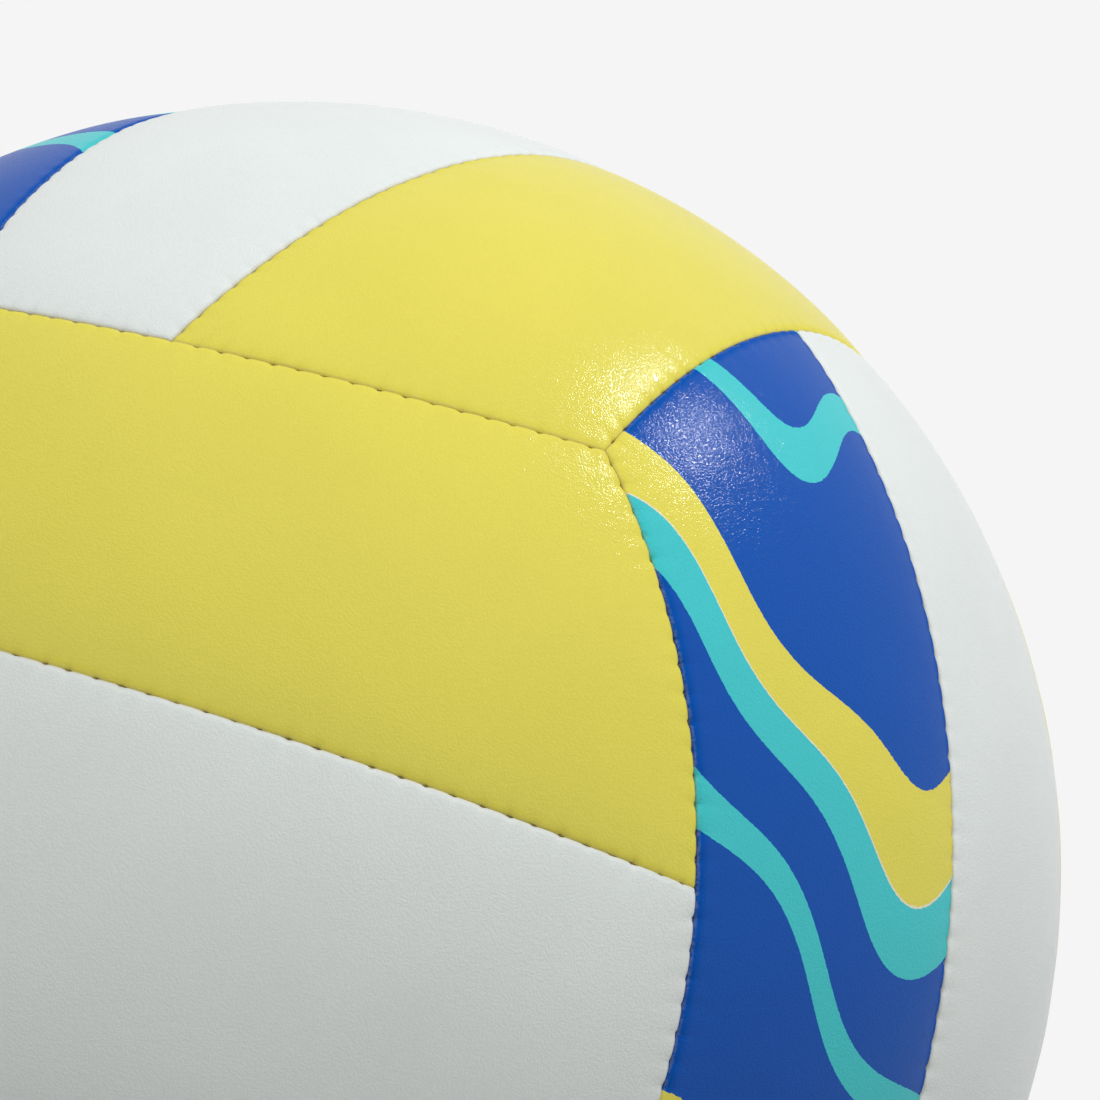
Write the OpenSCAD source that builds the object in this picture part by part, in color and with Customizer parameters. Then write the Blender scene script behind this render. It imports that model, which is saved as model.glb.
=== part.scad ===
// A machine-stitched volleyball: an inflated bladder inside a sewn cover of eighteen laminated panels.
// The cover has six faces, laid out as on a cube, and each face is three parallel strips. The strips of
// one face end against the long side of a strip of the next. The origin is the ball's centre, and +Z
// runs out through the valve. Every seam surface passes through the centre: the seams inside a face are
// flat, and the long sides of a face are cones that bow towards the face's middle. One face is drawn with
// its normal along +Z and its strips along Y, and then turned into each of the six places.

/* [Ball] */
// Diameter over the crowns of the panels
ball_d = 210; // [190:1:230]

/* [Cover panels] */
// Thickness of the printed outer skin
skin_t = 0.6; // [0.4:0.05:0.9]
// Thickness of the foam pad under the skin
foam_t = 2.4; // [1.8:0.1:4]
// Thickness of the woven lining under the foam
lining_t = 0.4; // [0.3:0.05:0.8]
// Thickness of a panel's turned-in edge, where the foam is pressed flat
fold_t = 1.2; // [1:0.05:1.6]
// Radius at which a panel rolls over into its seam
roll_r = 1.8; // [1.6:0.1:2.4]
// Depth of the groove along a seam
groove_depth = 1.15; // [0.9:0.05:1.3]

/* [Seams] */
// Half-angle of a face across its strips, halfway along them
waist_angle = 36.5; // [34:0.25:40]
// Half-angle of the middle strip
strip_angle = 14; // [11:0.25:16]
// Distance from stitch to stitch
stitch_pitch = 3.7; // [3:0.1:6]
// Diameter of the sewing thread
thread_d = 0.45; // [0.3:0.05:0.6]

/* [Bladder and valve] */
// Thickness of the bladder's wall
bladder_t = 0.5; // [0.4:0.05:1]
// Diameter of the valve's hole in the skin
valve_hole_d = 8; // [7:0.25:10]
// Diameter of the inflating needle's passage
needle_d = 2.5; // [2:0.1:3]
// Length of that passage, before the slit that seals it
needle_len = 10; // [8:0.5:12]
// Diameter of the rubber patch round the valve, inside the bladder
patch_d = 32; // [26:1:40]

/* [Hidden] */
// Names and places of the faces and of their strips, with the strips' colours
FACES = ["top", "front", "right", "bottom", "back", "left"];
TURNS = [[0, 0, 0], [0, -90, 90], [90, 0, 90], [0, 180, 0], [0, -90, -90], [90, 0, -90]];
STRIPS = ["print", "white", "yellow"];
SIDES = [-1, 0, 1];
COLOURS = ["#0E5AA8", "#E3E8E8", "#E6D75F"];
// Clearances: between the two edges of a seam, between glued layers, round a thread, and round a loose fit
seam_gap = 0.1;
glue_gap = 0.05;
touch_gap = 0.03;
loose_gap = 0.15;
// Angles of the seam cones: their axis dips by tilt, and their own half-angle is cone_angle
corner_share = 1/sqrt(3);
tilt = atan2(sin(waist_angle) - corner_share, cos(waist_angle) - corner_share);
cone_angle = acos((cos(tilt) - sin(tilt))*corner_share);
// Thickness of a thread where it is pressed flat along a seam
rail_t = 0.7*thread_d;
// Radii of the layers, from the outside in
ball_r = ball_d/2;
pad_r = ball_r - skin_t - glue_gap;
lining_r = pad_r - foam_t - glue_gap;
cover_r = lining_r - lining_t;
bladder_r = cover_r - loose_gap;
air_r = bladder_r - bladder_t;
// Depth of the stitches, halfway between the groove and the inside of the cover
stitch_r = ball_r - (groove_depth + ball_r - cover_r)/2;
// Distances from the middle of a seam
skin_inset = seam_gap/2;
pocket_inset = skin_inset + fold_t;
rail_mid = pocket_inset + touch_gap + rail_t/2;
pad_inset = rail_mid + rail_t/2 + loose_gap;
// Reach of the shapes that cut the ball up, and the overrun of a cut
reach = ball_d;
over = skin_t;
// Degrees by which a groove is longer than its seam, and an angle from a face's middle past its corners
groove_over = 3;
wide_angle = 60;
// Rolls on both sides of a seam: how far they stand proud, how deep their middles lie and how far apart
roll_rise_share = 0.045;
roll_drop = roll_r*(1 - roll_rise_share);
roll_x = sqrt(pow(roll_r, 2) - pow(roll_drop - groove_depth, 2));
// Half-lengths of the seams, in degrees round their cones
side_half = asin(corner_share/sin(cone_angle));
inner_a = cos(tilt)*cos(strip_angle);
inner_half = acos(cos(cone_angle)/sqrt(pow(inner_a, 2) + pow(sin(tilt), 2))) - atan2(sin(tilt), inner_a);
// Where the inner seams of one face meet the long side of the next
meet_a = tan(strip_angle)*sin(tilt);
meet_b = tan(strip_angle)*cos(tilt)/tan(cone_angle);
meet_half = asin(meet_b/sqrt(1 + pow(meet_a, 2))) + atan(meet_a);
// A thread stops this far from another seam, in degrees on the cone that it follows
stop = rail_mid + rail_t/2 + 2*loose_gap;
side_stop = stop/(stitch_r*sin(cone_angle))*180/PI;
inner_stop = stop/stitch_r*180/PI;
// Thread where it crosses from panel to panel, and its needle holes
cross_r = thread_d/2 - touch_gap;
hole_r = thread_d/2;
rail_stop_share = 0.85;
// Places of the stitches, and how close a stitch comes to where an inner seam meets a long side
side_places = stitches(side_half - side_stop, stitch_r*sin(cone_angle));
inner_places = stitches(inner_half - inner_stop, stitch_r);
near_meet = thread_d/(stitch_r*sin(cone_angle))*180/PI;

// Valve plug: its flat head lies a little below the skin, and its bulb is caught in the housing
head_drop = 0.35;
head_t = 1.5;
funnel_t = 0.8;
funnel_d_share = 1.6;
plug_wall = 1.4;
bulb_wall = 1.1;
bulb_len = 5;
tip_len = 4;
tip_d_share = 1.5;
slit_share = 0.9;
slit_t = 0.12;
// Valve housing: the walls of its neck and collar, the shoulder over the bulb, and the patch that it joins
neck_wall = 1.2;
collar_wall = 2.2;
shoulder_t = 2.4;
patch_t = 1.2;
// Diameters of the valve's parts
funnel_d = needle_d*funnel_d_share;
tip_d = needle_d*tip_d_share;
head_d = valve_hole_d - 4*loose_gap;
stem_d = needle_d + 2*plug_wall;
bulb_d = stem_d + 2*bulb_wall;
neck_d = head_d + 2*glue_gap + 2*neck_wall;
neck_hole_d = neck_d + 2*loose_gap;
collar_d = bulb_d + 2*glue_gap + 2*collar_wall;
// Heights of the valve's parts above the ball's centre
head_z = ball_r - head_drop;
seat_z = head_z - head_t;
mouth_z = head_z - funnel_t;
needle_z = mouth_z - needle_len;
patch_r = air_r - glue_gap;
collar_z = sqrt(pow(patch_r - patch_t, 2) - pow(collar_d/2, 2)) - glue_gap;
bulb_z = collar_z - shoulder_t;
tail_z = bulb_z - bulb_len;
tip_z = tail_z - tip_len;

$fn = 180;

// A ball whose poles lie on the Y axis, clear of the panels
module ball(r) {
    rotate([90, 0, 0]) sphere(r);
}

// A hollow ball
module shell(outer_r, inner_r) {
    difference() {
        ball(outer_r);
        ball(inner_r);
    }
}

// Frames of the seams: what is drawn round +Z, on the cone at +X, comes to lie on the seam
module on_inner_seam(side) {
    rotate([0, 90 + side*strip_angle, 0]) rotate([0, 0, 180]) children();
}

module on_side(side) {
    rotate([0, 0, side < 0 ? 180 : 0]) rotate([0, 90 + tilt, 0]) rotate([0, 0, 180]) children();
}

module on_end(end) {
    rotate([end*tilt, 0, 0]) rotate([0, 0, end*90]) children();
}

// A strip's wedge seen along Y: its tip, and a far point on each of its planes
function wedge(middle, inset) =
    let (
        tip = middle ? [0, inset/sin(strip_angle)] : inset*[cos(strip_angle), -sin(strip_angle)],
        far = middle ? [-sin(strip_angle), cos(strip_angle)] : [sin(wide_angle), cos(wide_angle)]
    )
    [tip, tip + reach*[sin(strip_angle), cos(strip_angle)], tip + reach*far];

// A seam's cone round +Z, with its surface moved out by the given distance
module seam_cone(offset) {
    rotate([0, 0, 180])
        translate([0, 0, -offset/sin(cone_angle)])
            cylinder(h = reach, r1 = 0, r2 = reach*tan(cone_angle));
}

// What lies of its children between the seams of the middle strip, or of the one at +X, inset from them
module between_seams(middle, inset) {
    intersection() {
        difference() {
            intersection() {
                children();
                rotate([90, 0, 0]) linear_extrude(2*reach, center = true) polygon(wedge(middle, inset));
            }
            if (!middle) on_side(1) seam_cone(inset);
        }
        rotate([tilt, 0, 0]) seam_cone(-inset);
        rotate([-tilt, 0, 0]) seam_cone(-inset);
    }
}

// The groove over a seam: what is left between two rolls that press together
module groove_profile() {
    difference() {
        translate([-roll_x, -roll_drop]) square([2*roll_x, roll_drop + roll_r]);
        for (side = [-1, 1]) translate([side*roll_x, -roll_drop]) circle(roll_r);
    }
}

// The groove on a seam's cone, as long as the seam and a little longer at both ends
module seam_groove(angle, half) {
    rotate([0, 0, -half - groove_over])
        rotate_extrude(angle = 2*(half + groove_over))
            translate([ball_r*sin(angle), ball_r*cos(angle)])
                rotate(-angle) groove_profile();
}

// Places of the stitches along a seam, in degrees either side of its middle
function stitches(half, r) =
    let (steps = round(half*PI/90*r/stitch_pitch))
    [for (i = [0:steps]) half*(2*i/steps - 1)];

// A straight piece across a seam at each of the places, between two distances from its middle
module crossings(angle, places, r, from, to) {
    for (place = places)
        rotate([0, angle, place])
            translate([from, 0, stitch_r])
                rotate([0, 90, 0])
                    cylinder(h = to - from, r = r);
}

// Thread pressed flat along one side of a seam, from one place to another
module rail(angle, middle, from, to) {
    rotate([0, 0, from])
        rotate_extrude(angle = to - from)
            translate([
                stitch_r*sin(angle) + middle*cos(angle),
                stitch_r*cos(angle) - middle*sin(angle)
            ])
                rotate(-angle) square([rail_t, thread_d], center = true);
}

// A seam's two threads: one lies along its near side and crosses over, the other lies along its far side
module seam_threads(angle, places, near_end, far_arcs) {
    crossings(angle, places, cross_r, -rail_mid + rail_t/2 + touch_gap, rail_mid);
    rail(angle, rail_mid, -near_end, near_end);
    for (arc = far_arcs) rail(angle, -rail_mid, arc[0], arc[1]);
}

// The needle holes on a seam
module needle_holes(angle, places) {
    crossings(angle, places, hole_r, -pocket_inset - touch_gap, pocket_inset + touch_gap);
}

// The needle holes round the middle strip, or round the one at +X
module strip_holes(middle) {
    for (side = middle ? [-1, 1] : [1]) on_inner_seam(side) needle_holes(90, inner_places);
    if (!middle) on_side(1) needle_holes(cone_angle, side_places);
    for (end = [-1, 1])
        on_end(end)
            needle_holes(cone_angle, [
                for (p = side_places)
                    if (middle ? abs(p) < meet_half + near_meet : -end*p > meet_half - near_meet) p
            ]);
}

module valve_hole(d) {
    translate([0, 0, air_r/2]) cylinder(h = ball_r, d = d);
}

// One panel's outer skin, drawn round +Z: a tray whose edges turn in along the seams
module tray(middle) {
    difference() {
        between_seams(middle, skin_inset) shell(ball_r, cover_r);
        between_seams(middle, pocket_inset) shell(ball_r - skin_t, cover_r - over);
    }
}

// The tray with its edges rolled over into the seams
module rolled_tray(middle) {
    difference() {
        difference() {
            tray(middle);
            for (end = [-1, 1]) on_end(end) seam_groove(cone_angle, side_half);
        }
        for (side = middle ? [-1, 1] : [1]) on_inner_seam(side) seam_groove(90, inner_half);
        if (!middle) on_side(1) seam_groove(cone_angle, side_half);
    }
}

// The strip at -X is the one at +X, turned half round
module skin(strip, bored) {
    color(COLOURS[strip + 1])
        rotate([0, 0, strip < 0 ? 180 : 0])
            difference() {
                rolled_tray(strip == 0);
                strip_holes(strip == 0);
                if (bored) valve_hole(valve_hole_d);
            }
}

// A layer inside the panel, between two radii
module layer(strip, bored, outer_r, inner_r) {
    rotate([0, 0, strip < 0 ? 180 : 0])
        difference() {
            between_seams(strip == 0, pad_inset) shell(outer_r, inner_r);
            if (bored) valve_hole(neck_hole_d);
        }
}

module pad(strip, bored) {
    color("#C9C3B4") layer(strip, bored, pad_r, pad_r - foam_t);
}

module lining(bored) {
    color("#F1EFE6")
        for (strip = SIDES) layer(strip, bored && strip == 0, lining_r, cover_r);
}

// The threads of a face's two inner seams and of its two long sides, where the next faces' strips end
module seam_thread() {
    inner_end = inner_half - inner_stop*rail_stop_share;
    side_end = side_half - side_stop*rail_stop_share;
    far_arcs = [
        [-side_end, -meet_half - side_stop],
        [-meet_half + side_stop, meet_half - side_stop],
        [meet_half + side_stop, side_end]
    ];
    color("#8C8048")
        for (side = [-1, 1]) {
            on_inner_seam(side) seam_threads(90, inner_places, inner_end, [[-inner_end, inner_end]]);
            on_side(side) seam_threads(cone_angle, side_places, side_end, far_arcs);
        }
}

module bladder() {
    color("#2B2B2D")
        difference() {
            shell(bladder_r, air_r);
            valve_hole(neck_hole_d);
        }
}

// A domed rubber disc against the inside of the bladder
module valve_patch() {
    color("#3A3A3C")
        difference() {
            intersection() {
                shell(patch_r, patch_r - patch_t);
                cylinder(h = ball_r, d = patch_d);
            }
            valve_hole(neck_hole_d);
        }
}

// A neck out through the cover, and a collar inside that holds the plug's bulb
module valve_housing() {
    neck_r = neck_d/2;
    collar_r = collar_d/2;
    color("#4A4A4C")
        rotate_extrude()
            polygon([
                [head_d/2 + glue_gap, seat_z - glue_gap],
                [head_d/2 + glue_gap, pad_r],
                [neck_r, pad_r],
                [neck_r, collar_z],
                [collar_r, collar_z],
                [collar_r, tail_z],
                [bulb_d/2 + glue_gap, tail_z],
                [bulb_d/2 + glue_gap, bulb_z + glue_gap],
                [stem_d/2 + glue_gap, bulb_z + glue_gap],
                [stem_d/2 + glue_gap, seat_z - glue_gap]
            ]);
}

// The plug that the needle goes into: a passage down from its head, then a slit that seals
module valve_core() {
    color("#232325")
        difference() {
            rotate_extrude()
                polygon([
                    [0, head_z],
                    [head_d/2, head_z],
                    [head_d/2, seat_z],
                    [stem_d/2, seat_z],
                    [stem_d/2, bulb_z],
                    [bulb_d/2, bulb_z],
                    [bulb_d/2, tail_z],
                    [tip_d/2, tip_z],
                    [0, tip_z]
                ]);
            translate([0, 0, needle_z]) cylinder(h = ball_r - needle_z, d = needle_d);
            translate([0, 0, mouth_z])
                cylinder(h = 2*funnel_t, d1 = needle_d, d2 = 2*funnel_d - needle_d);
            translate([-needle_d*slit_share/2, -slit_t/2, tip_z - over])
                cube([needle_d*slit_share, slit_t, needle_z - tip_z + 2*over]);
        }
}

for (f = [0:len(FACES) - 1]) {
    face = FACES[f];
    for (strip = SIDES) {
        name = str(face, "_", STRIPS[strip + 1]);
        bored = f == 0 && strip == 0;
        rotate(TURNS[f]) skin(strip, bored);
        rotate(TURNS[f]) pad(strip, bored);
    }
    rotate(TURNS[f]) lining(f == 0);
    rotate(TURNS[f]) seam_thread();
}
bladder();
valve_patch();
valve_housing();
valve_core();
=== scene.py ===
"""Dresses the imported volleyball: sewn leather panels, a wave print, stitches and the valve's hole.

Shapes are worked out in millimetres round the ball's centre and stored in metres.
"""

import math

import bpy
import numpy as np
from mathutils import Matrix

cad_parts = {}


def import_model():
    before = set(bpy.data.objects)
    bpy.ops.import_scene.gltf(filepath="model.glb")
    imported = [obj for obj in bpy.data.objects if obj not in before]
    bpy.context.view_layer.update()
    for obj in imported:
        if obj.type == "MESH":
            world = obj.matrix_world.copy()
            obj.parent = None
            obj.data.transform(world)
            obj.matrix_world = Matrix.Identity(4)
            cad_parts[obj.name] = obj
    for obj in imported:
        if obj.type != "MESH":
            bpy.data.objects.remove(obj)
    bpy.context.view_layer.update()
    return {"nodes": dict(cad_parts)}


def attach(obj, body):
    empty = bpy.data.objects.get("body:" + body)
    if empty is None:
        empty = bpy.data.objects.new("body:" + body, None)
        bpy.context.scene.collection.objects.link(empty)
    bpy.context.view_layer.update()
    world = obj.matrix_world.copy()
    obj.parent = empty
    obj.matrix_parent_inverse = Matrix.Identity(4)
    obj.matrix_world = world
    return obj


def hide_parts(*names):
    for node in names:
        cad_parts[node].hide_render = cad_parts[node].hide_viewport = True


MM = 0.001

# The ball's radius, and the angles from a face's middle to its inner seams and to its side seams
BALL_R = 105.0
STRIP_ANGLE = math.radians(14)
WAIST_ANGLE = math.radians(36.5)

# The faces, the turns about X, Y and Z that take the top face to each, and the strips of a face
FACES = ("top", "front", "right", "bottom", "back", "left")
TURNS = ((0, 0, 0), (0, -90, 90), (90, 0, 90), (0, 180, 0), (0, -90, -90), (90, 0, -90))
STRIPS = ("print", "white", "yellow")

# Directions near a strip's corners: across it and along it for its two long sides, and up
CORNER_ACROSS = {"print": (0.1, 0.58), "white": (-0.2, 0.2), "yellow": (0.1, 0.58)}
CORNER_ALONG = (0.8, 0.6)
CORNER_UP = 0.6

# Vertices along a panel's edges: those along the strip, and those across it
ALONG = 416
ACROSS = {"print": 112, "white": 80, "yellow": 112}

# The rolled edge: its reach in from the seam, its depth, and the turns at which it has rings
ROLL_REACH = 0.8
ROLL_DEPTH = 0.22
ROLL_DEGREES = (12, 26, 40, 54, 70, 90)

# Half the gap between two panels, and the radius where the wall under the roll ends
SEAM_GAP = 0.015
WALL_R = 102.5

# Distances from the seam of the rings behind the roll: with all, half and a quarter of the vertices
FLAT_RINGS = (1.5, 2.4)
HALVED_RINGS = (3.7, 5.0)
GRID_RING = 6.8

# The swell of the panels between their seams
EDGE_R = {"print": 104.74, "white": 104.78, "yellow": 104.66}
SWELL = {"print": 0.52, "white": 0.36, "yellow": 0.48}
SWELL_REACH = 4.5

# The unevenness of the leather: height, number of waves and their lengths
UNEVEN = 0.035
UNEVEN_WAVES = 14
UNEVEN_LENGTHS = (9.0, 30.0)
UNEVEN_SEED = 100

# The stitches' spacing, the radius where it is counted, and how far short of a seam's end they stop
STITCH_PITCH = 3.0
STITCH_R = 102.674
SEAM_STOP = 1.75

# How much stitches vary in place and in force
STITCH_SHIFT = 0.22
STITCH_SPREAD = 0.35

# What a stitch does to a panel's edge: it pulls the edge back and down, and puckers the leather
PULL = 0.12
PULL_WIDTH = 0.3
PULL_REACH = 1.2
DIP = 0.14
DIP_WIDTH = 0.36
DIP_REACH = 0.6
PUCKER = 0.06
PUCKER_REACH = 2.0

# The thread where it crosses a seam: its middle lies deep in the seam, and its ends drop
THREAD_R = 0.17
THREAD_HALF = 0.55
THREAD_DEPTH = 0.92
THREAD_DROP = 0.25
THREAD_SIDES = 7
THREAD_STEPS = 5

# The valve's hole: half of the block of the panel's grid that it takes up, the rings that round the
# block off, and the rim's profile, outward from the hole and down
HOLE_R = 4.0
HOLE_BLOCK = (7, 5)
HOLE_RINGS = (0.25, 0.5, 0.72, 0.88)
HOLE_RIM = ((0.75, 0.0), (0.42, 0.05), (0.2, 0.15), (0.06, 0.32), (0.0, 0.55), (0.0, 2.2))
HOLE_DIMPLE = 0.22
HOLE_DIMPLE_REACH = 2.2

# The camera, in the ball's axes, with the start of its view in metres
CAMERA_AT = (191.329, -343.317, 42.045)
CAMERA_RIGHT = (0.883829, 0.417308, 0.211422)
CAMERA_UP = (-0.182634, -0.108276, 0.977201)
CAMERA_LENS = 90.995
CAMERA_START = 0.02
SENSOR = 36.0

# The backdrop's colour, and the floor: its radius and fade in metres, its depth below the ball's centre
# in millimetres, and its colours to the rays that show it and to those that light the ball
PALE = (0.913, 0.913, 0.913, 1)
FLOOR_R = 4.0
FLOOR_SIDES = 96
FLOOR_DROP = 105.15
FLOOR_FADE = (0.22, 0.62)
FLOOR_COLOUR = (0.86, 0.86, 0.86, 1)
FLOOR_BOUNCE = (0.03, 0.03, 0.028, 1)

# The world's light, from least to most along an axis
WORLD_AXIS = (0.41, -0.86, -0.3)
WORLD_LIGHT = (0.2, 1.55)
WORLD_COLOURS = ((0.97, 1.0, 1.03, 1), (1.0, 1.0, 0.96, 1))

# More light from behind the ball: its side in the camera's axes, the cosines between which it grows,
# and its strength
BACK_SIDE = (-0.1, 0.1, -1.0)
BACK_ZONE = (0.55, 1.0)
BACK_LIGHT = 0.7

# The lamp: its side in the camera's axes, distance and size in metres, and power
KEY_SIDE = (0.652, 0.757, -0.03)
KEY_DISTANCE = 1.4
KEY_SIZE = 0.13
KEY_POWER = 4.3

# A direction that the lamp's axis doesn't share
ASIDE = (0.3, 0.9, 0.1)


def unit(v):
    return np.asarray(v, float) / np.linalg.norm(v)


def turn(degrees):
    """The rotation matrix of turns about X, then Y, then Z."""
    x, y, z = (Matrix.Rotation(math.radians(a), 3, n) for a, n in zip(degrees, "XYZ"))
    return np.array(z @ y @ x)


# Seams


def cone():
    """The tilt of a side seam's axis and its half-angle."""
    corner = 1 / math.sqrt(3)
    tilt = math.atan2(math.sin(WAIST_ANGLE) - corner, math.cos(WAIST_ANGLE) - corner)
    return tilt, math.acos((math.cos(tilt) - math.sin(tilt)) * corner)


def inner_half():
    """Half the angle that an inner seam takes up, from one side seam to the other."""
    across = math.cos(TILT) * math.cos(STRIP_ANGLE)
    reach = math.acos(math.cos(CONE) / math.hypot(across, math.sin(TILT)))
    return reach - math.atan2(math.sin(TILT), across)


TILT, CONE = cone()
SIDE_HALF = math.asin(1 / math.sqrt(3) / math.sin(CONE))
INNER_HALF = inner_half()

stitch_rows = {}


class Seam:
    """A seam seen from one of its panels: a circle round an axis, with the panel to one side."""

    def __init__(self, axis, angle, middle, inward, half, matrix):
        axis = matrix @ unit(axis)
        middle = matrix @ unit(middle)
        middle = unit(middle - (middle @ axis) * axis)
        self.frame = np.array([middle, np.cross(axis, middle), axis])
        self.angle = angle
        self.inward = inward
        ring = math.sin(angle)
        self.half = half - SEAM_STOP / (STITCH_R * ring)
        self.ring_r = BALL_R * ring
        self.steps = round(2 * self.half * STITCH_R * ring / STITCH_PITCH)
        self.shift, self.force = self.stitch_row()

    def stitch_row(self):
        """The shifts and forces of the seam's stitches, the same for both of its panels."""
        key = tuple(np.round(self.frame, 3).ravel() + 0.0)
        if key not in stitch_rows:
            rng = np.random.default_rng(len(stitch_rows))
            shift = rng.uniform(-STITCH_SHIFT, STITCH_SHIFT, self.steps + 1)
            force = rng.uniform(1 - STITCH_SPREAD, 1 + STITCH_SPREAD, self.steps + 1)
            stitch_rows[key] = (self, shift, force)
        return stitch_rows[key][1:]

    def at(self, azimuth, offset):
        """Directions at azimuths along the seam, at a distance into the panel."""
        polar = self.angle + self.inward * np.asarray(offset) / BALL_R
        across = np.sin(polar)
        places = [across * np.cos(azimuth), across * np.sin(azimuth), np.cos(polar) + 0 * azimuth]
        return np.stack(places, -1) @ self.frame

    def azimuth(self, d):
        return np.arctan2(d @ self.frame[1], d @ self.frame[0])

    def distance(self, d):
        """How far into the panel directions lie."""
        return self.inward * (np.arccos(np.clip(d @ self.frame[2], -1, 1)) - self.angle) * BALL_R

    def away(self, d):
        """The unit steps that lead away from the seam."""
        polar_cos = (d @ self.frame[2])[:, None]
        step = polar_cos * d - self.frame[2]
        return self.inward * step / np.linalg.norm(step, axis=1)[:, None]

    def stitches(self, d):
        """The distance along the seam from the nearest stitch, and that stitch's force."""
        phase = (self.azimuth(d) / self.half + 1) * self.steps / 2
        nearest = np.clip(np.round(phase), 0, self.steps).astype(int)
        along = (phase - nearest) * 2 * self.half / self.steps * self.ring_r
        return along - self.shift[nearest], self.force[nearest]


def strip_seams(strip, matrix):
    """The four seams of a strip: inner or left, end, side or right, other end."""
    c, s = math.cos(STRIP_ANGLE), math.sin(STRIP_ANGLE)
    ct, st = math.cos(TILT), math.sin(TILT)
    top = (0, math.cos(WAIST_ANGLE), math.sin(WAIST_ANGLE))
    low = (0, -math.cos(WAIST_ANGLE), math.sin(WAIST_ANGLE))
    ends = [
        Seam((0, -st, ct), CONE, top, -1, SIDE_HALF, matrix),
        Seam((0, st, ct), CONE, low, -1, SIDE_HALF, matrix),
    ]
    quarter = math.pi / 2
    if strip == "white":
        left = Seam((c, 0, s), quarter, (-s, 0, c), -1, INNER_HALF, matrix)
        right = Seam((c, 0, -s), quarter, (s, 0, c), 1, INNER_HALF, matrix)
    else:
        left = Seam((c, 0, -s), quarter, (s, 0, c), -1, INNER_HALF, matrix)
        middle = (math.sin(WAIST_ANGLE), 0, math.cos(WAIST_ANGLE))
        right = Seam((ct, 0, -st), CONE, middle, 1, SIDE_HALF, matrix)
    return [left, ends[0], right, ends[1]]


def corner_hints(strip, matrix):
    """Directions near the corners of a strip, in the order of its seams."""
    (inner, outer), (far, near), up = CORNER_ACROSS[strip], CORNER_ALONG, CORNER_UP
    hints = ((inner, -far, up), (inner, far, up), (outer, near, up), (outer, -near, up))
    return [matrix @ unit(hint) for hint in hints]


def meet(a, b, offset, near):
    """Where two seams meet, both moved into the panel by an offset."""
    axes = a.frame[2], b.frame[2]
    cosines = [math.cos(s.angle + s.inward * offset / BALL_R) for s in (a, b)]
    g = axes[0] @ axes[1]
    x = (cosines[0] - g * cosines[1]) / (1 - g * g)
    y = (cosines[1] - g * cosines[0]) / (1 - g * g)
    flat = x * axes[0] + y * axes[1]
    normal = unit(np.cross(*axes))
    rest = math.sqrt(max(0, 1 - flat @ flat))
    return max((flat + rest * normal, flat - rest * normal), key=lambda d: d @ near)


# Panels


def ring(seams, corners, offset, counts):
    """The closed loop at an offset from the four seams, as directions, without repeats."""
    found = [meet(seams[i - 1], seams[i], offset, corners[i]) for i in range(4)]
    parts = []
    for i, seam in enumerate(seams):
        start, end = (seam.azimuth(found[j]) for j in (i, (i + 1) % 4))
        steps = np.arange(counts[i]) / counts[i]
        parts.append(seam.at(start + (end - start) * steps, offset))
    return np.concatenate(parts)


def coons(loop, counts):
    """The grid of directions inside a loop."""
    a, b = counts[:2]
    closed = np.vstack([loop, loop[:1]])
    left = closed[: a + 1]
    top = closed[a : a + b + 1]
    right = closed[a + b : 2 * a + b + 1][::-1]
    low = closed[2 * a + b :][::-1]
    v = (np.arange(a + 1) / a)[:, None, None]
    u = (np.arange(b + 1) / b)[None, :, None]
    grid = (1 - u) * left[:, None] + u * right[:, None] + (1 - v) * low[None] + v * top[None]
    grid -= (1 - u) * (1 - v) * left[0] + u * (1 - v) * right[0]
    grid -= (1 - u) * v * left[-1] + u * v * right[-1]
    return grid / np.linalg.norm(grid, axis=2, keepdims=True)


def bridge(outer, inner):
    """Quads between two closed loops of vertex numbers."""
    return np.stack([outer, inner, np.roll(inner, -1), np.roll(outer, -1)], 1)


def bridge_half(outer, inner):
    """Triangles between a loop and one with half as many vertices."""
    even, odd, after = outer[0::2], outer[1::2], np.roll(outer, -2)[0::2]
    ahead = np.roll(inner, -1)
    threes = ((even, inner, odd), (odd, inner, ahead), (odd, ahead, after))
    return np.concatenate([np.stack(three, 1) for three in threes])


def border(grid):
    """The loop of vertex numbers round a grid of them."""
    return np.concatenate([grid[:-1, 0], grid[-1, :-1], grid[:0:-1, -1], grid[0, :0:-1]])


def hole_block(shape, more=0):
    """The valve's block in the middle of a grid of quads, or of its vertices with one more each way."""
    return tuple(slice(n // 2 - half, n // 2 + half + more) for n, half in zip(shape, HOLE_BLOCK))


def grid_quads(grid, hole):
    """The quads of a grid of vertex numbers, but for those of the valve's block."""
    quads = np.stack([grid[:-1, :-1], grid[:-1, 1:], grid[1:, 1:], grid[1:, :-1]], -1)
    keep = np.ones(quads.shape[:2], bool)
    if hole:
        keep[hole_block(keep.shape)] = False
    return quads[keep]


def uneven(directions, seed):
    """Slow swells and hollows of the leather, in millimetres."""
    rng = np.random.default_rng(seed)
    total = np.zeros(len(directions))
    for _ in range(UNEVEN_WAVES):
        wave = unit(rng.normal(size=3)) * 2 * math.pi / rng.uniform(*UNEVEN_LENGTHS)
        total += np.sin(directions @ wave * BALL_R + rng.uniform(0, 2 * math.pi))
    return UNEVEN * total / math.sqrt(UNEVEN_WAVES)


def roll_drop(distance):
    """How far the rolled edge lies below the panel's face."""
    share = np.clip(1 - distance / ROLL_REACH, 0, 1)
    return ROLL_DEPTH * (1 - np.sqrt(1 - share**2))


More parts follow.
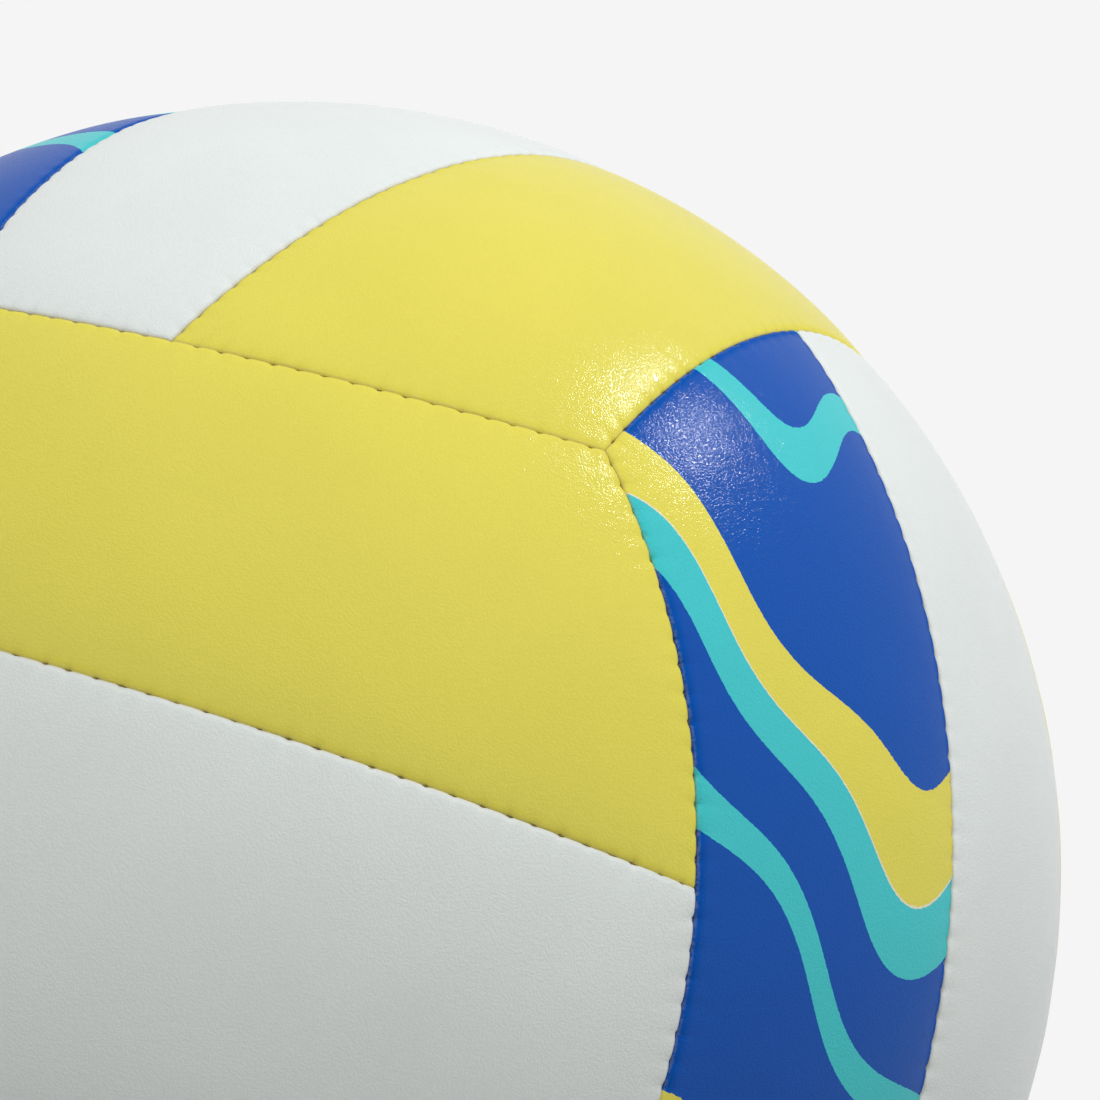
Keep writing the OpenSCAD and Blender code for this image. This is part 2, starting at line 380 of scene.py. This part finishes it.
def formed(directions, seams, kind, seed):
    """A panel's points in millimetres, and their distances from the nearest seam."""
    swell = np.ones(len(directions))
    rolls = np.zeros(len(directions))
    drops = np.zeros(len(directions))
    shifts = np.zeros_like(directions)
    nearest = np.full(len(directions), np.inf)
    for seam in seams:
        d = np.maximum(seam.distance(directions), 0)
        along, force = seam.stitches(directions)
        nearest = np.minimum(nearest, d)
        swell *= 1 - np.exp(-d / SWELL_REACH)
        rolls += roll_drop(d) ** 2
        near = np.exp(-((along / DIP_WIDTH) ** 2)) * np.exp(-d / DIP_REACH)
        wave = (1 + np.cos(2 * math.pi * np.clip(along / STITCH_PITCH, -0.5, 0.5))) / 2
        drops += force * (DIP * near + PUCKER * wave * np.exp(-d / PUCKER_REACH))
        pull = PULL * force * np.exp(-((along / PULL_WIDTH) ** 2)) * np.clip(1 - d / PULL_REACH, 0, 1)
        shifts += seam.away(directions) * pull[:, None]
    radius = EDGE_R[kind] + SWELL[kind] * swell - np.sqrt(rolls) - drops + uneven(directions, seed)
    moved = directions + shifts / BALL_R
    moved /= np.linalg.norm(moved, axis=1)[:, None]
    return moved * radius[:, None], nearest


def hole_rim(points, loop):
    """The points of the rings from a loop to the valve's hole and down it, and their quads."""
    square = points[loop]
    flat = square[:, :2]
    angle = np.arctan2(flat[:, 1], flat[:, 0])
    circle = np.stack([np.cos(angle), np.sin(angle)], 1)
    start_r = np.linalg.norm(square, axis=1)
    rings = [((1 - t) * flat + t * circle * (HOLE_R + HOLE_RIM[0][0]), 0.0) for t in HOLE_RINGS]
    rings += [(circle * (HOLE_R + out), drop) for out, drop in HOLE_RIM]
    rim_points, quads = [], []
    for i, (places, drop) in enumerate(rings):
        out = np.linalg.norm(places, axis=1)
        dimple = HOLE_DIMPLE * np.exp(-(out - HOLE_R) / HOLE_DIMPLE_REACH)
        r = start_r - dimple - drop
        rim_points.append(np.column_stack([places, np.sqrt(r**2 - out**2)]))
        new = len(points) + i * len(loop) + np.arange(len(loop))
        quads.append(bridge(loop, new))
        loop = new
    return np.concatenate(rim_points), np.concatenate(quads)


def strip_places(points, distances, matrix):
    """Each point's place across and along its strip, and its distance from the nearest seam."""
    local = points @ matrix
    across = np.arctan2(local[:, 0], local[:, 2]) * BALL_R
    along = np.arcsin(local[:, 1] / np.linalg.norm(local, axis=1)) * BALL_R
    return np.stack([across, along, distances], 1)


def panel_loops(kind, seams, matrix):
    """The loops of directions from the foot of a panel's wall inward, and the grid inside them."""
    corners = corner_hints(kind, matrix)
    full = np.array((ALONG, ACROSS[kind]) * 2)
    rolled = [ROLL_REACH * (1 - math.cos(math.radians(g))) for g in ROLL_DEGREES]
    loops = [ring(seams, corners, o, full) for o in (SEAM_GAP, *rolled, *FLAT_RINGS)]
    loops.insert(0, loops[0])
    loops += [ring(seams, corners, o, full // 2) for o in HALVED_RINGS]
    return loops, coons(ring(seams, corners, GRID_RING, full // 4), full // 4)


def panel_shape(kind, matrix, seed, hole):
    """Points, quads, triangles and places in the strip of one panel."""
    seams = strip_seams(kind, matrix)
    loops, grid = panel_loops(kind, seams, matrix)
    directions = np.concatenate([*loops, grid.reshape(-1, 3)])
    points, distances = formed(directions, seams, kind, seed)
    wall = len(loops[0])
    points[:wall] = directions[:wall] * WALL_R
    starts = np.cumsum([0] + [len(loop) for loop in loops])
    numbers = [np.arange(start, end) for start, end in zip(starts, starts[1:])]
    grid_numbers = np.arange(starts[-1], len(points)).reshape(grid.shape[:2])
    numbers.append(border(grid_numbers))
    pairs = list(zip(numbers, numbers[1:]))
    quads = [bridge(*pair) for pair in pairs if len(pair[0]) == len(pair[1])]
    quads.append(grid_quads(grid_numbers, hole))
    triangles = [bridge_half(*pair) for pair in pairs if len(pair[0]) != len(pair[1])]
    if hole:
        block = grid_numbers[hole_block(np.array(grid_numbers.shape) - 1, 1)]
        rim_points, rim_quads = hole_rim(points, border(block))
        points = np.vstack([points, rim_points])
        distances = np.append(distances, np.full(len(rim_points), GRID_RING))
        quads.append(rim_quads)
    places = strip_places(points, distances, matrix)
    return points, np.concatenate(quads), np.concatenate(triangles), places


def make_mesh(name, points, quads, triangles):
    """A smooth mesh from points in millimetres, and quads and triangles of their numbers."""
    mesh = bpy.data.meshes.new(name)
    mesh.vertices.add(len(points))
    mesh.vertices.foreach_set("co", (points * MM).astype(np.float32).ravel())
    corners = np.concatenate([quads.ravel(), triangles.ravel()]).astype(np.int32)
    mesh.loops.add(len(corners))
    mesh.loops.foreach_set("vertex_index", corners)
    sizes = np.concatenate([np.full(len(quads), 4), np.full(len(triangles), 3)])
    starts = np.concatenate([[0], np.cumsum(sizes)[:-1]])
    mesh.polygons.add(len(sizes))
    mesh.polygons.foreach_set("loop_start", starts.astype(np.int32))
    mesh.update(calc_edges=True)
    mesh.validate()
    mesh.shade_smooth()
    return mesh


def add_object(name, data):
    added = bpy.data.objects.new(name, data)
    bpy.context.scene.collection.objects.link(added)
    return added


def add_piece(name, mesh, material):
    piece = add_object(name, mesh)
    mesh.materials.append(material)
    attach(piece, "root")
    return piece


def make_panels(materials):
    half_turn = turn((0, 0, 180))
    for f, face in enumerate(FACES):
        for s, kind in enumerate(STRIPS):
            matrix = turn(TURNS[f]) @ (half_turn if kind == "print" else np.eye(3))
            hole = face == "top" and kind == "white"
            seed = UNEVEN_SEED + len(STRIPS) * f + s
            points, quads, triangles, places = panel_shape(kind, matrix, seed, hole)
            places[:, 1] += PRINT_STEP * f
            mesh = make_mesh(f"{face}_{kind}_panel", points, quads, triangles)
            attribute = mesh.attributes.new("strip", "FLOAT_VECTOR", "POINT")
            attribute.data.foreach_set("vector", places.astype(np.float32).ravel())
            panel = add_piece(mesh.name, mesh, materials[f"{kind}_skin"])
            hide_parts(f"{face}_{kind}_skin")


def thread_points(seam, azimuth):
    """The points of the rings round a thread that crosses a seam."""
    middle = seam.at(azimuth, 0.0)
    side = seam.away(middle[None])[0]
    run = np.cross(middle, side)
    centre = middle * (BALL_R - THREAD_DEPTH)
    points = []
    for t in np.linspace(-1, 1, THREAD_STEPS):
        at = centre + side * t * THREAD_HALF - middle * THREAD_DROP * t * t
        for g in np.arange(THREAD_SIDES) * 2 * math.pi / THREAD_SIDES:
            points.append(at + THREAD_R * (math.cos(g) * middle + math.sin(g) * run))
    return points


def make_stitches(material):
    """The short lengths of thread that show in the needle holes, one piece for the whole ball."""
    rings = np.arange(THREAD_STEPS * THREAD_SIDES).reshape(THREAD_STEPS, THREAD_SIDES)
    thread_quads = np.concatenate([bridge(*pair) for pair in zip(rings, rings[1:])])
    points, quads = [], []
    for seam, shift, _ in stitch_rows.values():
        places = seam.half * (2 * np.arange(seam.steps + 1) / seam.steps - 1) + shift / seam.ring_r
        for place in places:
            quads.append(len(points) + thread_quads)
            points += thread_points(seam, place)
    mesh = make_mesh("stitches", np.array(points), np.concatenate(quads), np.empty((0, 3), int))
    add_piece("stitches", mesh, material)


# Materials


def srgb(red, green, blue):
    """A colour of 0 to 255 as linear light."""
    return tuple(
        (c / 12.92 if c <= 0.04045 else ((c + 0.055) / 1.055) ** 2.4)
        for c in (red / 255, green / 255, blue / 255)
    ) + (1.0,)


WHITE = srgb(232, 237, 236)
YELLOW = srgb(233, 221, 92)
BLUE = srgb(0, 83, 180)
TURQUOISE = srgb(70, 205, 211)
PALE_LINE = srgb(240, 230, 202)

# The print: bands on a blue ground along a wavy line in millimetres, moved on by a step at each face
PRINT_PERIOD = 72.0
PRINT_STEP = 23.0
PRINT_SLANT = 0.5
PRINT_BANDS = (
    (0.0, BLUE),
    (24.0, YELLOW),
    (35.0, PALE_LINE),
    (35.3, TURQUOISE),
    (44.0, BLUE),
    (58.0, TURQUOISE),
    (64.5, BLUE),
)

# The waves of that line: height, length, lean and start, and the raggedness of the bands' edges
PRINT_WAVES = ((9.0, 62.0, 0.3, 0.0), (2.5, 37.0, -0.5, 1.0))
RAGGED = 0.35
RAGGED_NOISE = (2.6, 2.0)

# The range that holds most of a noise. Each noise has waves to a millimetre, detail and roughness
MOST = (0.3, 0.7)

# The leather's grain: cells to a millimetre, height in millimetres, how far a noise bends the cells,
# the part of a cell that its pore fills, and the shares of the pores and of a finer noise
GRAIN = 3.4
GRAIN_HEIGHT = 0.023
BEND = 0.8
BEND_NOISE = (0.9, 2.0)
PORE = (0.1, 0.85)
PORE_SHARE = 0.7
FINE_SHARE = 0.55
FINE_NOISE = (5.5, 3.0, 0.6)

# How dark the slow and the quick changes of tone get, and the pores
TONE = 0.975
TONE_NOISE = (0.05, 3.0)
MOTTLE = 0.99
MOTTLE_NOISE = (0.9, 3.0)
PORE_TONE = 0.975

# The worn edges, painted paler as a highlight where the rolled edge catches the light: where the wear
# and painted highlight end, how much they hide, and the noise that frays them
WEAR_AND_SHEEN = (0.1, 0.5)
WEAR_AND_SHEEN_SHARE = 0.16
WEAR_AND_SHEEN_COLOUR = srgb(222, 220, 210)
FRAY = (0.35, 0.65)
FRAY_NOISE = (2.2, 3.0, 0.7)

# Dirt and painted crease shade in the seams: where they end, their share and their colour
SEAM_DIRT_AND_SHADE = (0.02, 0.4)
SEAM_DIRT_AND_SHADE_SHARE = 0.2
SEAM_DIRT_AND_SHADE_COLOUR = srgb(190, 165, 110)

# The leather's shine: the coat's weight, its share at a seam and where it is full, and roughness
SHINE = {"print": 0.38, "white": 0.5, "yellow": 0.45}
SHINE_AT_SEAM = 0.2
SHINE_REACH = (0.3, 1.6)
SHINE_ROUGHNESS = 0.1
ROUGHNESS = (0.46, 0.54)
ROUGHNESS_NOISE = (0.35, 3.0)
LEATHER_IOR = 1.5

# Plain materials: colour, roughness, size and height of the bumps in millimetres, least shade, sheen
PLAIN = {
    "foam": (srgb(203, 197, 182), 0.95, 0.5, 0.12, 0.8, 0.0),
    "lining": (srgb(240, 238, 229), 0.9, 0.35, 0.08, 0.88, 0.2),
    "thread": (srgb(158, 134, 78), 0.7, 0.12, 0.03, 0.7, 0.3),
    "bladder_rubber": (srgb(44, 44, 46), 0.55, 1.5, 0.02, 0.9, 0.0),
    "valve_rubber": (srgb(70, 70, 72), 0.6, 0.8, 0.015, 0.9, 0.0),
    "plug_rubber": (srgb(38, 38, 40), 0.5, 0.6, 0.012, 0.9, 0.0),
}
SPECK_DETAIL = (4.0, 0.6)

# The slots of the frame's own nodes, by the ends of their names
NODE_SLOTS = {
    "pad": "foam",
    "lining": "lining",
    "seam_thread": "thread",
    "bladder": "bladder_rubber",
    "valve_patch": "valve_rubber",
    "valve_housing": "valve_rubber",
    "valve_core": "plug_rubber",
}


class Nodes:
    """Short calls for the nodes of a material or of the world."""

    def __init__(self, tree, output):
        self.tree = tree
        self.tree.nodes.clear()
        self.output = self.add(output)

    def add(self, kind, inputs=(), **values):
        node = self.tree.nodes.new(kind)
        for key, value in values.items():
            setattr(node, key, value)
        for key, value in dict(inputs).items():
            self.set(node.inputs[key], value)
        return node

    def set(self, socket, value):
        if isinstance(value, bpy.types.NodeSocket):
            self.tree.links.new(value, socket)
        else:
            socket.default_value = value

    def math(self, operation, *values):
        return self.add("ShaderNodeMath", enumerate(values), operation=operation).outputs[0]

    def vector(self, operation, *values):
        return self.add("ShaderNodeVectorMath", enumerate(values), operation=operation).outputs[0]

    def measure(self, operation, *values):
        """A vector operation whose result is a number."""
        node = self.add("ShaderNodeVectorMath", enumerate(values), operation=operation)
        return node.outputs["Value"]

    def scaled(self, vector, scale):
        inputs = {0: vector, "Scale": scale}
        return self.add("ShaderNodeVectorMath", inputs, operation="SCALE").outputs[0]

    def mix(self, share, a, b, blend="MIX"):
        inputs = {0: share, 6: a, 7: b}
        return self.add("ShaderNodeMix", inputs, data_type="RGBA", blend_type=blend).outputs[2]

    def grey(self, level):
        inputs = {"Red": level, "Green": level, "Blue": level}
        return self.add("ShaderNodeCombineColor", inputs).outputs[0]

    def ramp(self, value, low, high, to_low=0.0, to_high=1.0):
        """A smooth step from one value to another, as a value goes from low to high."""
        inputs = {"Value": value, "From Min": low, "From Max": high}
        inputs |= {"To Min": to_low, "To Max": to_high}
        return self.add("ShaderNodeMapRange", inputs, interpolation_type="SMOOTHSTEP").outputs[0]

    def noise(self, vector, scale, detail, roughness=0.5, output="Fac"):
        inputs = {"Vector": vector, "Scale": scale, "Detail": detail, "Roughness": roughness}
        return self.add("ShaderNodeTexNoise", inputs).outputs[output]

    def bump(self, height, distance):
        """A bump of a height in millimetres."""
        inputs = {"Height": height, "Strength": 1.0, "Distance": distance * MM}
        return self.add("ShaderNodeBump", inputs).outputs[0]

    def place(self):
        """The place on the object in millimetres."""
        return self.scaled(self.add("ShaderNodeTexCoord").outputs["Object"], 1 / MM)

    def mixed(self, share, a, b):
        """A mix of two shaders."""
        return self.add("ShaderNodeMixShader", {0: share, 1: a.outputs[0], 2: b.outputs[0]})

    def finish(self, shader):
        self.tree.links.new(shader.outputs[0], self.output.inputs["Surface"])


def new_material(name):
    """A material and its nodes, which hold only the output."""
    material = bpy.data.materials.new(name)
    material.use_nodes = True
    return material, Nodes(material.node_tree, "ShaderNodeOutputMaterial")


def grain(n, place):
    """The height of the leather's grain, and its pores."""
    bend = n.vector("SUBTRACT", n.noise(place, *BEND_NOISE, output="Color"), (0.5, 0.5, 0.5))
    bent = n.vector("ADD", place, n.scaled(bend, BEND))
    cells = n.add("ShaderNodeTexVoronoi", {"Vector": bent, "Scale": GRAIN})
    pores = n.ramp(cells.outputs["Distance"], *PORE)
    fine = n.math("MULTIPLY", n.noise(bent, *FINE_NOISE), FINE_SHARE)
    return n.math("ADD", n.math("MULTIPLY", pores, -PORE_SHARE), fine), pores


def waves(n, place, parts):
    """The print's bands."""
    across, along = parts[0], parts[1]
    line = n.math("ADD", along, n.math("MULTIPLY", across, PRINT_SLANT))
    for size, length, lean, start in PRINT_WAVES:
        phase = n.math("ADD", across, n.math("MULTIPLY", along, lean))
        angle = n.math("ADD", n.math("MULTIPLY", phase, 2 * math.pi / length), start)
        line = n.math("ADD", line, n.math("MULTIPLY", n.math("SINE", angle), size))
    noise = n.noise(place, *RAGGED_NOISE)
    ragged = n.math("MULTIPLY", n.math("SUBTRACT", noise, 0.5), RAGGED)
    share = n.math("FRACT", n.math("DIVIDE", n.math("ADD", line, ragged), PRINT_PERIOD))
    ramp = n.add("ShaderNodeValToRGB", {"Fac": share})
    ramp.color_ramp.interpolation = "CONSTANT"
    stops = ramp.color_ramp.elements
    while len(stops) < len(PRINT_BANDS):
        stops.new(0.5)
    for stop, (start, colour) in zip(stops, PRINT_BANDS):
        stop.position = start / PRINT_PERIOD
        stop.color = colour
    return ramp.outputs["Color"]


def toned_worn_and_shaded(n, colour, place, pores, distance):
    """A skin's colour with slight changes of tone, its seam edges worn and painted paler as a
    highlight, and dirt and painted shade in its seams.
    """
    tone = n.ramp(n.noise(place, *TONE_NOISE), *MOST, TONE, 1.0)
    mottle = n.ramp(n.noise(place, *MOTTLE_NOISE), *MOST, MOTTLE, 1.0)
    pore_tone = n.ramp(pores, 0.0, 1.0, 1.0, PORE_TONE)
    level = n.math("MULTIPLY", n.math("MULTIPLY", tone, mottle), pore_tone)
    colour = n.mix(1.0, colour, n.grey(level), "MULTIPLY")
    # Paler rims along the rolled seam edges: wear together with a painted highlight
    fray = n.ramp(n.noise(place, *FRAY_NOISE), *FRAY)
    wear_and_sheen = n.math("MULTIPLY", n.ramp(distance, *WEAR_AND_SHEEN, 1.0, 0.0), fray)
    colour = n.mix(n.math("MULTIPLY", wear_and_sheen, WEAR_AND_SHEEN_SHARE), colour, WEAR_AND_SHEEN_COLOUR)
    # Darker towards the seams: dirt together with painted crease shade
    return n.mix(n.ramp(distance, *SEAM_DIRT_AND_SHADE, SEAM_DIRT_AND_SHADE_SHARE, 0.0), colour, SEAM_DIRT_AND_SHADE_COLOUR, "MULTIPLY")


def skin_material(name, colours, shine):
    """Coated leather with a fine grain and a soft shine, which is weaker at the seams."""
    material, n = new_material(name)
    place = n.place()
    height, pores = grain(n, place)
    strip = n.add("ShaderNodeAttribute", attribute_name="strip").outputs["Vector"]
    parts = n.add("ShaderNodeSeparateXYZ", {"Vector": strip}).outputs
    bump = n.bump(height, GRAIN_HEIGHT)
    inputs = {
        "Base Color": toned_worn_and_shaded(n, colours(n, place, parts), place, pores, parts[2]),
        "Roughness": n.ramp(n.noise(place, *ROUGHNESS_NOISE), *MOST, *ROUGHNESS),
        "IOR": LEATHER_IOR,
        "Specular IOR Level": 0.0,
        "Coat Weight": n.ramp(parts[2], *SHINE_REACH, SHINE_AT_SEAM * shine, shine),
        "Coat Roughness": SHINE_ROUGHNESS,
        "Normal": bump,
        "Coat Normal": bump,
    }
    n.finish(n.add("ShaderNodeBsdfPrincipled", inputs))
    return material


def plain_material(name, colour, roughness, cell, height, least, sheen):
    """Foam, cloth, thread or rubber: mottled colour and small bumps."""
    material, n = new_material(name)
    speck = n.noise(n.place(), 1 / cell, *SPECK_DETAIL)
    shade = n.grey(n.ramp(speck, *MOST, least, 1.0))
    inputs = {
        "Base Color": n.mix(1.0, colour, shade, "MULTIPLY"),
        "Roughness": roughness,
        "Sheen Weight": sheen,
        "Normal": n.bump(speck, height),
    }
    n.finish(n.add("ShaderNodeBsdfPrincipled", inputs))
    return material


def make_materials():
    """All the materials, by the names of their slots."""
    colours = {"print": waves, "white": lambda *_: WHITE, "yellow": lambda *_: YELLOW}
    materials = {name: plain_material(name, *values) for name, values in PLAIN.items()}
    for kind in STRIPS:
        name = f"{kind}_skin"
        materials[name] = skin_material(name, colours[kind], SHINE[kind])
    return materials


def dress_frame(frame, materials):
    """Gives each node of the frame the material of its slot."""
    for name, node in frame["nodes"].items():
        for ending, slot in NODE_SLOTS.items():
            if name.endswith(ending):
                node.data.materials.clear()
                node.data.materials.append(materials[slot])


# Studio


def make_camera():
    """The photograph's camera. Returns its axes."""
    data = bpy.data.cameras.new("camera")
    data.sensor_width = SENSOR
    data.lens = CAMERA_LENS
    data.clip_start = CAMERA_START
    camera = add_object("camera", data)
    right, up = unit(CAMERA_RIGHT), unit(CAMERA_UP)
    matrix = np.eye(4)
    matrix[:3, :3] = np.stack([right, up, np.cross(right, up)], 1)
    matrix[:3, 3] = np.array(CAMERA_AT) * MM
    camera.matrix_world = Matrix(matrix)
    bpy.context.scene.camera = camera
    return matrix[:3, :3]


def pale_rays(n):
    """1 on the rays that show the pale background: from the camera, off a shine and through glass."""
    path = n.add("ShaderNodeLightPath").outputs
    seen = n.math("MAXIMUM", path["Is Camera Ray"], path["Is Transmission Ray"])
    return n.math("MAXIMUM", seen, path["Is Glossy Ray"])


def make_floor():
    """A pale floor that keeps the ball's shadow, fades into the backdrop and throws back little."""
    material, n = new_material("floor")
    seen = pale_rays(n)
    diffuse = n.add("ShaderNodeBsdfDiffuse", {"Color": n.mix(seen, FLOOR_BOUNCE, FLOOR_COLOUR)})
    pale = n.add("ShaderNodeEmission", {"Color": PALE, "Strength": 1.0})
    out = n.measure("LENGTH", n.add("ShaderNodeTexCoord").outputs["Object"])
    far = n.math("MULTIPLY", seen, n.ramp(out, *FLOOR_FADE))
    n.finish(n.mixed(far, diffuse, pale))
    mesh = bpy.data.meshes.new("floor")
    angles = np.arange(FLOOR_SIDES) * 2 * math.pi / FLOOR_SIDES
    rim = [(FLOOR_R * math.cos(g), FLOOR_R * math.sin(g), 0) for g in angles]
    mesh.from_pydata(rim, [], [list(range(FLOOR_SIDES))])
    mesh.materials.append(material)
    floor = add_object("floor", mesh)
    floor.location = (0, 0, -FLOOR_DROP * MM)


def make_world(axes):
    """A studio that is brighter on one side, and plain and pale to the camera and in reflections."""
    world = bpy.data.worlds.new("studio")
    bpy.context.scene.world = world
    world.use_nodes = True
    world.cycles.sampling_method = "NONE"
    n = Nodes(world.node_tree, "ShaderNodeOutputWorld")
    direction = n.add("ShaderNodeTexCoord").outputs["Generated"]
    bright = n.measure("DOT_PRODUCT", direction, tuple(unit(WORLD_AXIS)))
    share = n.math("MULTIPLY_ADD", bright, 0.5, 0.5)
    least, most = WORLD_LIGHT
    level = n.math("MULTIPLY_ADD", share, most - least, least)
    behind = n.measure("DOT_PRODUCT", direction, tuple(axes @ unit(BACK_SIDE)))
    strength = n.math("ADD", n.ramp(behind, *BACK_ZONE, 0.0, BACK_LIGHT), level)
    colour = n.mix(share, *WORLD_COLOURS)
    light = n.add("ShaderNodeBackground", {"Color": colour, "Strength": strength})
    pale = n.add("ShaderNodeBackground", {"Color": PALE, "Strength": 1.0})
    n.finish(n.mixed(pale_rays(n), light, pale))


def make_lamp(axes):
    """A round lamp that faces the ball."""
    data = bpy.data.lights.new("key", "AREA")
    data.shape = "DISK"
    data.size = KEY_SIZE
    data.energy = KEY_POWER
    lamp = add_object("key", data)
    back = unit(axes @ KEY_SIDE)
    side = unit(np.cross(ASIDE, back))
    lamp.location = back * KEY_DISTANCE
    lamp.rotation_mode = "QUATERNION"
    matrix = Matrix(np.stack([side, np.cross(back, side), back], 1))
    lamp.rotation_quaternion = matrix.to_quaternion()


def main():
    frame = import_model()
    axes = make_camera()
    materials = make_materials()
    dress_frame(frame, materials)
    make_panels(materials)
    make_stitches(materials["thread"])
    make_floor()
    make_world(axes)
    make_lamp(axes)
    bpy.context.scene.view_settings.view_transform = "Standard"


main()
